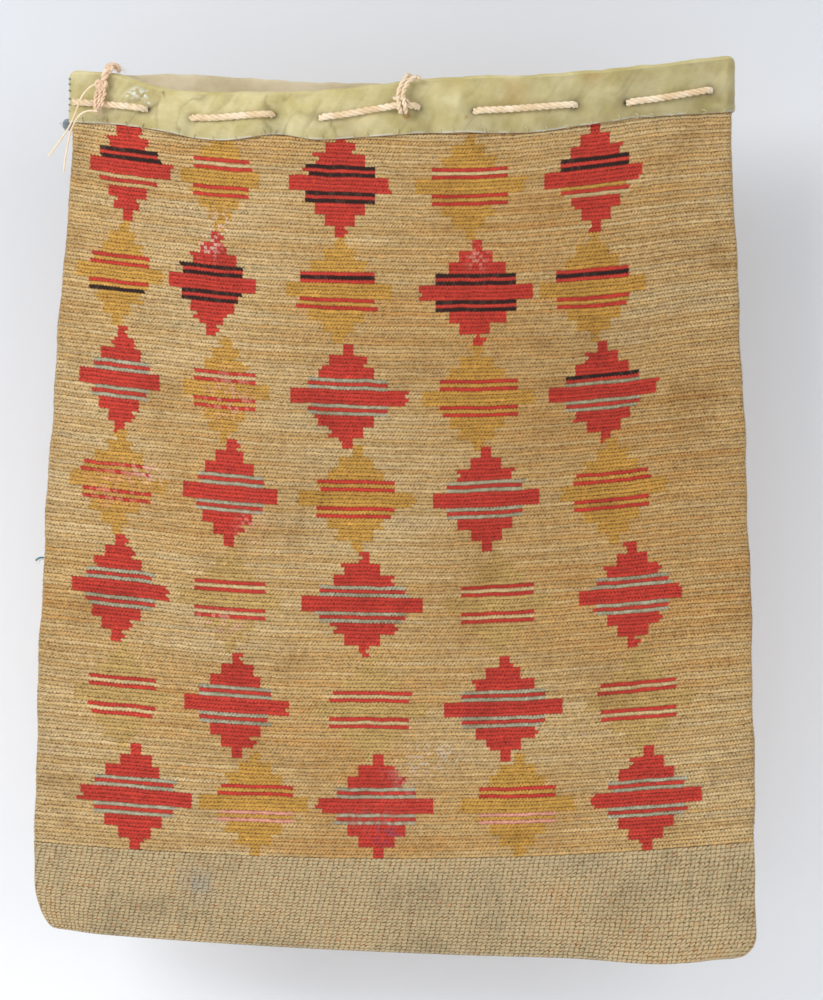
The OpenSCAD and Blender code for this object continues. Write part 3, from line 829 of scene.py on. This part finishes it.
def hide_strip(name, front, u_from, u_to):
    """One length of the folded strip, puckered between the lacing holes and dimpled at each of them."""
    profile, n_outer, n_fold = hide_profile()
    out, rim_share, hem_share, added, length = profile.T[:, None, :]
    u = np.linspace(u_from, u_to, round(HALF_W * abs(u_to - u_from)) + 1)[:, None]
    rim = front_rim(u) if front else back_rim(u)
    edge = hem(u) + 0.9 * (patches(31, u * 16 + 20, np.zeros_like(u)) - 0.5)
    from_end = (1 - np.abs(u)) * HALF_W
    rounding = RIM_CORNER_R * (1 - np.sqrt(1 - np.clip(1 - from_end / RIM_CORNER_R, 0, 1) ** 2))
    z = rim_share * (rim - rounding) + hem_share * edge + added
    half_run = HALF_W + HIDE_OUT - WALL_T + (MOUTH_GAP / 2 + HIDE_OUT) * (math.pi / 2 - 1)
    x = np.broadcast_to(u * half_run, z.shape)
    k = np.arange(len(profile))[None, :]
    up = np.clip(k / (n_outer - 1), 0, 1)
    on_outer = (k < n_outer) * np.sin(math.pi * np.clip(up * 0.92 + 0.06, 0, 1)) ** 0.5
    swell = hide_swell(front, u, x, z, up)
    on_top = ((k >= n_outer) & (k < n_outer + n_fold)) * 1.0
    raised = on_outer * np.clip(swell, -1.0, 2.6) * (0.9 if front else 0.5)
    z = z + on_top * 0.9 * (patches(43, x / 9 + 20, np.zeros_like(x)) - 0.5)
    points = layer(front, u, z, out + raised)
    along = np.broadcast_to(u * HALF_W, z.shape)
    lengths = np.broadcast_to(length, z.shape)
    closing = np.stack([along[:, :1], lengths[:, :1] + SECTION_RUN], axis=-1)
    pattern = np.concatenate([np.stack([along, lengths], axis=-1), closing], axis=1)
    suede = (k[0] >= n_outer + n_fold // 2).astype(int)
    grid = patch(points, pattern, flip=not front, closed=True, slot=suede[None, :])
    caps = ends(points, flip=not front, slot=1)
    piece = add_mesh(name, [grid, caps], [hide_face, hide_suede], grid_normals(points, front))
    mark_points(piece, hide_shade_and_marks(front, x, z, up, swell, (k < n_outer) * 1.0))
    return piece


# ---- Cords ----
def lengths_along(route):
    """The length from a route's start to each of its points."""
    return np.concatenate([[0], np.cumsum(np.linalg.norm(np.diff(route, axis=0), axis=1))])


def curve_through(points, step):
    """A smooth route through points, with a point about every `step`."""
    points = np.array(points, float)
    at = lengths_along(points)
    return cubic_through(at, points, np.linspace(0, at[-1], max(3, round(at[-1] / step))))


def frame_along(route, across):
    """Sideways and upward unit vectors along a route; `across` is a direction that it never runs along."""
    heading = unit(np.gradient(route, axis=0))
    sideways = unit(np.cross(across, heading))
    return sideways, np.cross(heading, sideways)


# How much wider the strands of a cord are than ones that would just touch.
PRESSED = 1.12


def tube(route, radius, across, sides=8, slot=0):
    """A round tube along a route, with a flat cap at each end. radius is one number or one for each point."""
    sideways, upward = frame_along(route, across)
    angle = (2 * math.pi * np.arange(sides) / sides)[None, :, None]
    r = np.broadcast_to(radius, len(route))[:, None, None]
    ring = np.cos(angle) * sideways[:, None, :] + np.sin(angle) * upward[:, None, :]
    points = route[:, None, :] + r * ring
    pattern = np.stack(np.meshgrid(np.linspace(0, 1, sides + 1), lengths_along(route)), axis=-1)[..., ::-1]
    return [patch(points, pattern, flip=True, closed=True, slot=slot), ends(points, flip=True, slot=slot)]


def laid_cord(route, diameter, strands, lay, across, slot=0):
    """A twisted cord: each strand is a tube that turns round the route once per lay."""
    strand_r = diameter / 2 / (1 + 1 / math.sin(math.pi / strands))
    sideways, upward = frame_along(route, across)
    at = lengths_along(route)
    parts = []
    for k in range(strands):
        turn = (2 * math.pi * (at / lay + k / strands))[:, None]
        centre = route + (diameter / 2 - strand_r) * (np.cos(turn) * sideways + np.sin(turn) * upward)
        parts += tube(centre, strand_r * PRESSED, across, slot=slot)
    return parts


def fibres(seed, middle, spread, count, length, drop=0.3, thick=0.09, slot=0):
    """Loose fibres round a place: short arcs that leave it in random directions and droop."""
    rng = np.random.default_rng(seed)
    parts = []
    steps = 5
    for _ in range(count):
        start = np.array(middle) + rng.normal(0, 1, 3) * spread
        way = unit(rng.normal(0, 1, 3) * [1, 0.6, 1])
        t = np.linspace(0, 1, steps)[:, None]
        reach = length * rng.uniform(0.5, 1.2)
        curl = unit(rng.normal(0, 1, 3)) * 0.35
        route = start + reach * (t * way + t * t * curl) - np.array([0, 0, drop * reach]) * t * t
        tapered = thick * np.linspace(1, 0.5, steps)
        parts += tube(route, tapered, unit(rng.normal(0, 1, 3)), sides=3, slot=slot)
    return parts


# How far the drawstring stands off the rim at the middle tie's hitch, and where its middle is there.
HITCH_STAND_OFF = TIE_D + 1
HITCH = np.array([0, -(MOUTH_GAP + ROOM_D + HIDE_OUT + HITCH_STAND_OFF + STRING_D / 2), -19.7])


def laced_point(front, x, inside):
    """A point of the drawstring: on the rim's outer or inner face, and stood off the rim at the hitch."""
    z = LACING[front](x / HALF_W)
    out = FLAP_IN - STRING_D / 2 - 0.1 if inside else HIDE_OUT + STRING_D / 2 + 0.1
    near_hitch = np.clip((12 - abs(x)) / 8, 0, 1)
    lift = HITCH_STAND_OFF * near_hitch if front and not inside else 0
    return stand_at(front, x, z, out + lift)


def laced_route(front, x_from, x_to):
    """The drawstring between two places: outside up to the first hole, then inside and outside by turns."""
    holes = HOLES[front]
    from_hole = 4
    points = []
    for k, (start, end) in enumerate(zip((2 - HALF_W, *holes), (*holes, HALF_W - 1))):
        inside = k % 2 == 1
        first = start if k == 0 else start + from_hole
        last = end - from_hole
        if last < x_from or first > x_to:
            continue
        xs = np.linspace(first, last, max(3, round((last - first) / 6) + 1))
        points += [laced_point(front, x, inside) for x in np.unique(np.clip(xs, x_from, x_to))]
    return np.array(points)


def drawstring(name, front, x_from, x_to):
    """The laced cord, with a worn, fluffy end at the left of the front."""
    route = curve_through(laced_route(front, x_from, x_to), 0.8)
    parts = laid_cord(route, 0.88 * STRING_D, strands=3, lay=13.5, across=(0, 0, 1))
    if front and x_from < -HALF_W:
        for k, x in enumerate((-205, -199, -193, -181, -172)):
            parts += fibres(101 + k, laced_point(True, x, False), spread=1.5, count=16, length=3.0)
    return add_mesh(name, parts, [cotton])


# How far apart the points of a tie's route are.
TIE_STEP = 0.6


def middle_tie():
    """Hitched round the drawstring and held by a band, with two twisted strands that lean over the rim."""
    turns = 1.5
    angle = np.linspace(0, 2 * math.pi * turns, 60)
    ring_r = STRING_D / 2 + 0.4 + TIE_D / 2
    wraps = np.stack([
        (angle / angle[-1] - 0.5) * (turns * TIE_D * 1.1),
        -ring_r * np.sin(angle),
        ring_r * np.cos(angle),
    ], axis=-1)
    turn = np.linspace(0, 2 * math.pi, 50)
    band = np.stack([4.1 * np.cos(turn) - 0.4, 2.7 * np.sin(turn), 3.2 - np.cos(turn)], axis=-1)
    first = [(-2.4, -0.5, 3.4), (-2.0, -0.2, 8), (-0.2, 0.6, 12.6),
             (2.2, 2.6, 17.0), (3.8, 6.5, 19.6), (5.6, 10.5, 18.6)]
    second = [(0.6, -0.8, 3.2), (1.0, -0.4, 8), (2.8, 0.2, 12.2),
              (5.2, 1.2, 15.8), (8.0, 1.8, 17.6), (11.0, 2.2, 17.0)]
    twist = {"strands": 2, "lay": 8}
    parts = laid_cord(HITCH + wraps, TIE_D, **twist, across=(1, 0, 0))
    parts += laid_cord(HITCH + band, 0.9 * TIE_D, **twist, across=(0, 0, 1))
    for route in (first, second):
        parts += laid_cord(HITCH + curve_through(route, TIE_STEP), TIE_D, **twist, across=(1, 0, 0))
        parts += fibres(61 + len(parts), HITCH + route[-1], spread=0.6, count=26, length=3.2)
    return add_mesh("middle_tie_cord", parts, [cotton])


def before_rim(x, z, off):
    """A place in front of the front rim, `off` from the hide's face."""
    return stand_at(True, x, z, HIDE_OUT + off)


def rim_route(*places):
    """A smooth route through places in front of the front rim, each (x, z, off)."""
    return curve_through([before_rim(*at) for at in places], TIE_STEP)


def left_tie():
    """A thick two-strand cord that comes over the rim, is knotted, and ends in a clump on the drawstring."""
    over = rim_route(
        (-189, -5, 3.0), (-187.5, -1, 3.4), (-185.5, 4, 3.2), (-183.5, 8, 1.4), (-180.5, 9, -2), (-178, 7, -5)
    )
    along_x = (1, 0.3, 0)
    parts = laid_cord(over, LEFT_TIE_D * 0.9, strands=2, lay=11, across=along_x, slot=1)
    t = np.linspace(0, 2 * math.pi, 90, endpoint=False)
    across, along = np.sin(t) + 2 * np.sin(2 * t), np.cos(t) - 2 * np.cos(2 * t)
    knot = np.stack([across, -0.8 * np.sin(3 * t), along], axis=-1)
    knot = np.concatenate([knot, knot[:1]])
    along_y = (0.1, 1, 0.05)
    parts += tube(before_rim(-188.5, -4.5, 5.0) + knot * [1.1, 1.4, 1.3], 1.3, along_y, slot=1)
    parts += tube(before_rim(-183.5, 6.5, 2.2) + knot * [0.7, 0.8, 0.7], 1.0, along_y, slot=1)
    for k, lean in enumerate((-2.3, 0, 2.2)):
        slack = rim_route(
            (-188.5 + 0.6 * lean, -5, 5.4), (-188.8 + 1.2 * lean, -10, 6.2),
            (-189.6 + lean, -15 + k, 6.6), (-190 + lean, -20 + 1.2 * k, 5.2),
        )
        parts += laid_cord(slack, 2.6, strands=2, lay=6, across=along_x, slot=1)
    for k, at in enumerate(((-190, -21, 4.5), (-189, -13, 6.5), (-178, 7, -4), (-188, -5, 6))):
        parts += fibres(71 + k, before_rim(*at), spread=1.4, count=34, length=3.6, slot=1)
    return add_mesh("left_tie_cord", parts, [cotton, tan_cotton])


# The two thin tails: from the knot, out past the left fold and down.
LONG_TAIL = [
    (-191, -22, -4), (-194, -22, -5.5), (-197, -21.5, -8), (-199.5, -21, -11), (-201.5, -20.5, -14.5),
    (-203, -20, -18.5), (-204.5, -19, -22.5), (-206.5, -18, -26.5), (-208.5, -17, -30), (-211, -16, -33.5),
    (-213.5, -15, -37), (-216, -14, -40), (-218.5, -13, -43), (-220.5, -12, -45.5), (-222.5, -11, -47.5),
]
SHORT_TAIL = [
    (-190, -23, -21.5), (-194, -23, -21), (-198, -22, -21.5), (-201.5, -21, -23.5), (-204, -20, -26.5),
    (-206, -19, -30), (-207.5, -18, -33.5), (-208.5, -17, -37), (-209.5, -16, -40.5), (-210.3, -15, -44),
    (-211, -14, -47), (-211.6, -13.5, -50), (-212, -13, -52.5), (-212.3, -12.5, -55), (-212.5, -12, -57.5),
]


def tail(name, points):
    """A thin tail as a cord of its own length, hanging free."""
    route = curve_through(points, 0.5)
    piece = add_mesh(name, tube(route, TAIL_D / 2, (0, 1, 0)), [cotton])
    return piece


def hem_stitches(name, front, x_from, x_to):
    """Short slanting stitches over the hem, unevenly spaced, each an arc that stands off the hide."""
    rng = np.random.default_rng(81 if front else 82)
    parts = []
    for x in np.linspace(-HALF_W + 14, HALF_W - 12, 30):
        middle = x + rng.uniform(-4, 4)
        lean, rise = rng.uniform(-2, 2), rng.uniform(2.2, 3.8)
        if not x_from <= middle < x_to:
            continue
        t = np.linspace(0, 1, 7)
        u = (middle + lean * (t - 0.5)) / HALF_W
        off = HIDE_OUT + 0.5 + 0.5 * np.sin(math.pi * t) - 1.4 * ((t < 0.1) | (t > 0.9))
        route = layer(front, u, hem(u) - 0.6 + rise * t, off)
        parts += tube(route, 0.36, (1, 0, 0), sides=6)
    return add_mesh(name, parts, [cream_thread])


def end_stitches():
    """Whip stitches round the left end of the rim, from the back face over the fold to the front face."""
    rng = np.random.default_rng(91)
    parts = []
    for height in (3, -1, -5, -9.5, -14, -18):
        t = np.linspace(-1, 1, 15)
        u = -1 + np.abs(t) * 0.022
        z = height + rng.uniform(-0.6, 0.6) + 1.2 * t
        on_front, on_back = (layer(front, u, z, HIDE_OUT + 0.3) for front in (True, False))
        parts += tube(np.where((t < 0)[:, None], on_front, on_back), 0.4, (0, 0, 1), sides=6)
    return add_mesh("rim_end_whipping", parts, [green_thread])


def felt_scrap():
    """A torn scrap of felt that sticks out behind the left end of the hide: a lumpy, flattened blob."""
    around, along = np.meshgrid(np.linspace(0, 2 * math.pi, 29)[:-1], np.linspace(-1, 1, 15)[1:-1])
    round_r = np.sqrt(1 - along**2) * (1 + 0.25 * (patches(95, along * 2 + 9, 2 * np.sin(around) + 9) - 0.5))
    centre = np.array([-HALF_W - 2.4, 0.2, -26])
    blob = np.stack([3.6 * round_r * np.cos(around), 1.5 * round_r * np.sin(around), 4.2 * along], axis=-1)
    points = blob + centre
    pattern = np.stack(np.meshgrid(np.linspace(0, 6, 29), np.linspace(0, 8, 13)), axis=-1)
    parts = [patch(points, pattern, flip=True, closed=True), ends(points, flip=True)]
    parts += fibres(96, centre + [-2, 0, 0], spread=1.6, count=40, length=2.2, drop=0, thick=0.12)
    return add_mesh("felt_scrap", parts, [grey_felt])


def teal_end():
    """A thread end that stands out of the left fold, with a few loose fibres."""
    root = layer(True, -1, -301, WALL_T)
    steps = np.array([(1.5, 0, 0), (-1.5, 0, 0.6), (-3.4, -0.4, 0), (-5, -0.6, -1.4)])
    parts = tube(curve_through(root + steps, 0.4), 0.5, (0, 1, 0), sides=6)
    parts += fibres(97, root + [-2, 0, 0], spread=0.4, count=14, length=2.6)
    return add_mesh("teal_thread_end", parts, [teal_thread])


def bend_with_mouth(piece):
    """Bakes the piece's transform into its mesh; the points that it reads first are not used."""
    places = np.empty(3 * len(piece.data.vertices), np.float32)
    piece.data.vertices.foreach_get("co", places)
    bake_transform(piece)


def settle(pieces, nodes, bends=False, body="back"):
    """Hides the named parts of the imported model, and puts each piece under its body's empty, or only bakes
    its transform if it bends.
    """
    for piece in pieces:
        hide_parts(*nodes)
        if bends:
            bend_with_mouth(piece)
        else:
            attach(piece, body)


settle([tail("long_tail_cord", LONG_TAIL)], ["left_tail_long"], bends=True)
settle([tail("short_tail_cord", SHORT_TAIL)], ["left_tail_short"], bends=True)

front_body = body_face("front_twining", True, 11)
back_body = body_face("back_twining", False, 23)
front_foot = foot_face("front_foot_twining", True, 35)
back_foot = foot_face("back_foot_twining", False, 47)
front_lining = lining_face("front_lining", True)
back_lining = lining_face("back_lining", False)
settle(front_body + front_lining, ["front_wall"], bends=True)
settle(back_body + back_lining, ["back_wall"])
settle(front_foot, ["front_foot_band"], bends=True)
settle(back_foot, ["back_foot_band", "foot_fold"])

front_hide = [hide_strip("front_hide_left", True, -1, 0), hide_strip("front_hide_right", True, 0, 1)]
back_hide = [hide_strip("back_hide", False, -1, 1)]
settle(front_hide, ["front_hide_rim"], bends=True)
settle(back_hide, ["back_hide_rim"])

PAST_END = HALF_W + 1
SIDES = {"left": (-PAST_END, 0), "right": (0, PAST_END)}
front_string = [drawstring(f"front_string_{side}", True, *reach) for side, reach in SIDES.items()]
settle(front_string, ["front_drawstring"], bends=True)
settle([drawstring("back_string", False, -PAST_END, PAST_END)], ["back_drawstring"])

front_stitches = [hem_stitches(f"front_stitches_{side}", True, *reach) for side, reach in SIDES.items()]
settle(front_stitches, ["front_hem_stitches"], bends=True)
back_stitches = [hem_stitches("back_stitches", False, -PAST_END, PAST_END)]
settle(back_stitches, ["back_hem_stitches"])
settle([left_tie()], ["left_tie"], bends=True)
settle([end_stitches()], ["rim_end_stitches"])
settle([felt_scrap()], ["cloth_scrap"])
settle([teal_end()], ["thread_end"])
settle([middle_tie()], ["middle_tie"], body="middle_tie")


# ---- Camera, light and surroundings ----
def add_camera():
    """Straight on, level with the middle of the bag, from far enough to see it nearly flat."""
    lens, tall = 85, 0.628
    camera = bpy.data.cameras.new("camera")
    camera.lens = lens
    camera.sensor_width = 36
    seen = bpy.data.objects.new("camera", camera)
    distance = tall / 2 / (camera.sensor_width / 2 / lens)
    seen.location = (0.006, -0.014 - distance, -0.264)
    seen.rotation_euler = (math.pi / 2, 0, 0)
    bpy.context.scene.collection.objects.link(seen)
    bpy.context.scene.camera = seen


def add_light(name, at, target, size, power):
    """A soft box that faces its target and isn't seen itself."""
    light = bpy.data.lights.new(name, "AREA")
    light.shape = "RECTANGLE"
    light.size, light.size_y = size
    light.energy = power
    lamp = bpy.data.objects.new(name, light)
    lamp.rotation_mode = "QUATERNION"
    lamp.rotation_quaternion = (Vector(target) - Vector(at)).to_track_quat("-Z", "Y")
    lamp.location = at
    lamp.visible_camera = False
    bpy.context.scene.collection.objects.link(lamp)


def one_sided_paint(name, colour):
    """Matt paint that shows from its front only and lets light through, so that the back can be seen."""
    material, net = new_material(name)
    position = net.add("ShaderNodeTexCoord").outputs["Object"]
    height = net.add("ShaderNodeSeparateXYZ", {0: position}).outputs[2]
    # Painted shade: the paint darkens towards the top, with a faint random mottle.
    upper = net.between(height, -0.45, 0.15, 0.0, 0.6)
    mottle = net.between(net.noise(position, 1.3, 2.0), 0.3, 0.7, 0.0, 0.06)
    shade = net.blend(net.math("ADD", upper, mottle), colour, rgba(190, 194, 200))
    paint = net.add("ShaderNodeBsdfDiffuse", {0: shade}).outputs[0]
    clear = net.add("ShaderNodeBsdfTransparent").outputs[0]
    behind = net.add("ShaderNodeNewGeometry").outputs["Backfacing"]
    shadow = net.add("ShaderNodeLightPath").outputs["Is Shadow Ray"]
    seen_through = net.math("MAXIMUM", behind, shadow)
    surface = net.add("ShaderNodeMixShader", {0: seen_through, 1: paint, 2: clear}).outputs[0]
    net.add("ShaderNodeOutputMaterial", {0: surface})
    return material


def flat_stage(name, corners, material):
    mesh = bpy.data.meshes.new(name)
    mesh.from_pydata(corners, [], [(0, 1, 2, 3)])
    mesh.materials.append(material)
    board = bpy.data.objects.new(name, mesh)
    bpy.context.scene.collection.objects.link(board)


def add_surroundings():
    paint = one_sided_paint("pale paint", rgba(242, 244, 247))
    wall_y, floor_z, far, top = 0.12, -0.78, 6.0, 3
    wall = [(-far, wall_y, floor_z), (far, wall_y, floor_z), (far, wall_y, top), (-far, wall_y, top)]
    floor = [(-far, -far, floor_z), (far, -far, floor_z), (far, far, floor_z), (-far, far, floor_z)]
    flat_stage("wall", wall, paint)
    flat_stage("floor", floor, paint)
    world = bpy.data.worlds.new("studio")
    bpy.context.scene.world = world
    world.use_nodes = True
    world.node_tree.nodes.clear()
    net = Net(world.node_tree)
    seen = net.add("ShaderNodeLightPath").outputs["Is Camera Ray"]
    strength = net.between(seen, 0, 1, 0.56, 0.86)
    sky = net.add("ShaderNodeBackground", {0: (0.97, 0.985, 1.0, 1), 1: strength}).outputs[0]
    net.add("ShaderNodeOutputWorld", {0: sky})
    bag_middle = (0, 0, -0.27)
    add_light("key", (-1.35, -1.55, 0.6), bag_middle, size=(1.3, 0.9), power=28)
    add_light("fill", (1.3, -1.8, 0.1), bag_middle, size=(1.2, 1.4), power=10)
    add_light("behind", (0.8, 1.8, 0.9), bag_middle, size=(1.4, 1.2), power=20)


add_camera()
add_surroundings()
bpy.context.scene.view_settings.view_transform = "Standard"
